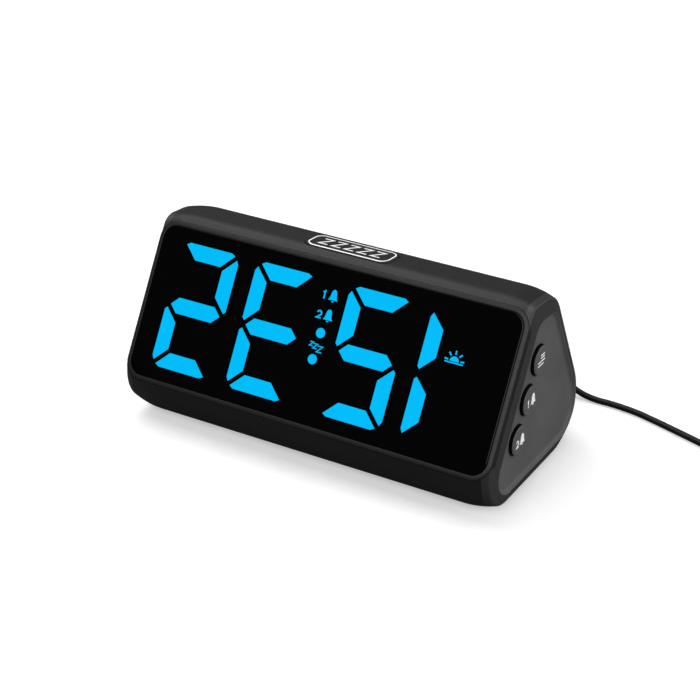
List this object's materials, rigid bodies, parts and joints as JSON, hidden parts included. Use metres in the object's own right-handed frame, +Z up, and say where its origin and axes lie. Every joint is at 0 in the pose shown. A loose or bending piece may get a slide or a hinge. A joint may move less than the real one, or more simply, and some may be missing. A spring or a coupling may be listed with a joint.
{
  "type": "alarm clock",
  "caption": "Wedge-shaped bedside LED alarm clock with a large tilted black window, ridge snooze pad, round end buttons, and a thin lead to a USB plug.",
  "frame": {"origin": "middle of the casing's footprint, on the surface that the rubber feet stand on", "axes": "+X along the clock's width to the viewer's right, +Y to the back, +Z up"},
  "size_m": [0.2639, 0.1573, 0.079],
  "materials": {
    "casing": "fine matte black moulded ABS",
    "bezel": "satin black moulded ABS",
    "end_panel": "soft-touch charcoal black",
    "button": "soft-touch charcoal black with white print",
    "lens": "dark tinted gloss acrylic",
    "light_window": "azure lit diffuser",
    "white_plastic": "white moulded plastic",
    "grey_plastic": "dark grey moulded plastic",
    "board": "green solder mask",
    "electronic_part": "black epoxy",
    "steel": "bright zinc-plated steel",
    "contact_brass": "plated spring brass",
    "rubber": "matte black rubber",
    "lead": "satin black PVC"
  },
  "bodies": {
    "clock_body": {"main_housing": "casing", "front_bezel": "bezel", "end_cap_right": "end_panel", "end_cap_left": "end_panel", "base_plate": "casing", "rubber_feet": "rubber", "base_screws": "steel", "display_lens": "lens", "diffuser_film": "white_plastic", "reflector_block": "white_plastic", "digit_1": "light_window", "digit_2": "light_window", "digit_3": "light_window", "digit_4": "light_window", "colon_windows": "light_window", "mark_windows": "light_window", "display_board": "board", "segment_leds": "white_plastic", "display_screws": "steel", "snooze_springs": "steel", "snooze_bracket": "grey_plastic", "snooze_switch": "grey_plastic", "bracket_screws": "steel", "side_board_right": "board", "side_board_left": "board", "side_switches_right": "grey_plastic", "side_switches_left": "grey_plastic", "side_board_screws": "steel", "main_board": "board", "control_chip": "electronic_part", "crystal": "steel", "reservoir_capacitor": "electronic_part", "buzzer": "electronic_part", "ribbon_cable": "grey_plastic", "ribbon_sockets": "white_plastic", "board_screws": "steel", "coin_cell": "steel", "cell_clip": "contact_brass", "strain_relief": "lead", "lead": "lead", "lead_coil": "lead", "lead_tie": "lead", "plug_grip": "lead", "plug_shell": "steel"},
    "snooze_bar": {"snooze_pad": "casing", "snooze_plunger": "white_plastic"},
    "menu_button": {"button_menu": "button", "plunger_menu": "white_plastic"},
    "alarm_1_button": {"button_alarm_1": "button", "plunger_alarm_1": "white_plastic"},
    "alarm_2_button": {"button_alarm_2": "button", "plunger_alarm_2": "white_plastic"},
    "up_button": {"button_up": "button", "plunger_up": "white_plastic"},
    "down_button": {"button_down": "button", "plunger_down": "white_plastic"},
    "dimmer_button": {"button_dimmer": "button", "plunger_dimmer": "white_plastic"},
    "battery_lid": {"cell_lid": "casing"}
  },
  "joints": [
    {"name": "snooze_press", "type": "slide", "parent": "clock_body", "child": "snooze_bar", "axis": [0, 0, -1], "range_m": [0, 0.0008], "stiffness_N_per_m": 900, "springref_m": -0.0007, "deforming": ["snooze_springs"]},
    {"name": "menu_press", "type": "slide", "parent": "clock_body", "child": "menu_button", "axis": [-1, 0, 0], "range_m": [0, 0.0007], "stiffness_N_per_m": 700, "springref_m": -0.0004},
    {"name": "alarm_1_press", "type": "slide", "parent": "clock_body", "child": "alarm_1_button", "axis": [-1, 0, 0], "range_m": [0, 0.0007], "stiffness_N_per_m": 700, "springref_m": -0.0004},
    {"name": "alarm_2_press", "type": "slide", "parent": "clock_body", "child": "alarm_2_button", "axis": [-1, 0, 0], "range_m": [0, 0.0007], "stiffness_N_per_m": 700, "springref_m": -0.0004},
    {"name": "up_press", "type": "slide", "parent": "clock_body", "child": "up_button", "axis": [1, 0, 0], "range_m": [0, 0.0007], "stiffness_N_per_m": 700, "springref_m": -0.0004},
    {"name": "down_press", "type": "slide", "parent": "clock_body", "child": "down_button", "axis": [1, 0, 0], "range_m": [0, 0.0007], "stiffness_N_per_m": 700, "springref_m": -0.0004},
    {"name": "dimmer_press", "type": "slide", "parent": "clock_body", "child": "dimmer_button", "axis": [1, 0, 0], "range_m": [0, 0.0007], "stiffness_N_per_m": 700, "springref_m": -0.0004},
    {"name": "battery_lid_turn", "type": "hinge", "parent": "clock_body", "child": "battery_lid", "pos_m": [0.044, -0.0015, 0.0012], "axis": [0, 0, 1], "range_deg": [0, 60]}
  ]
}
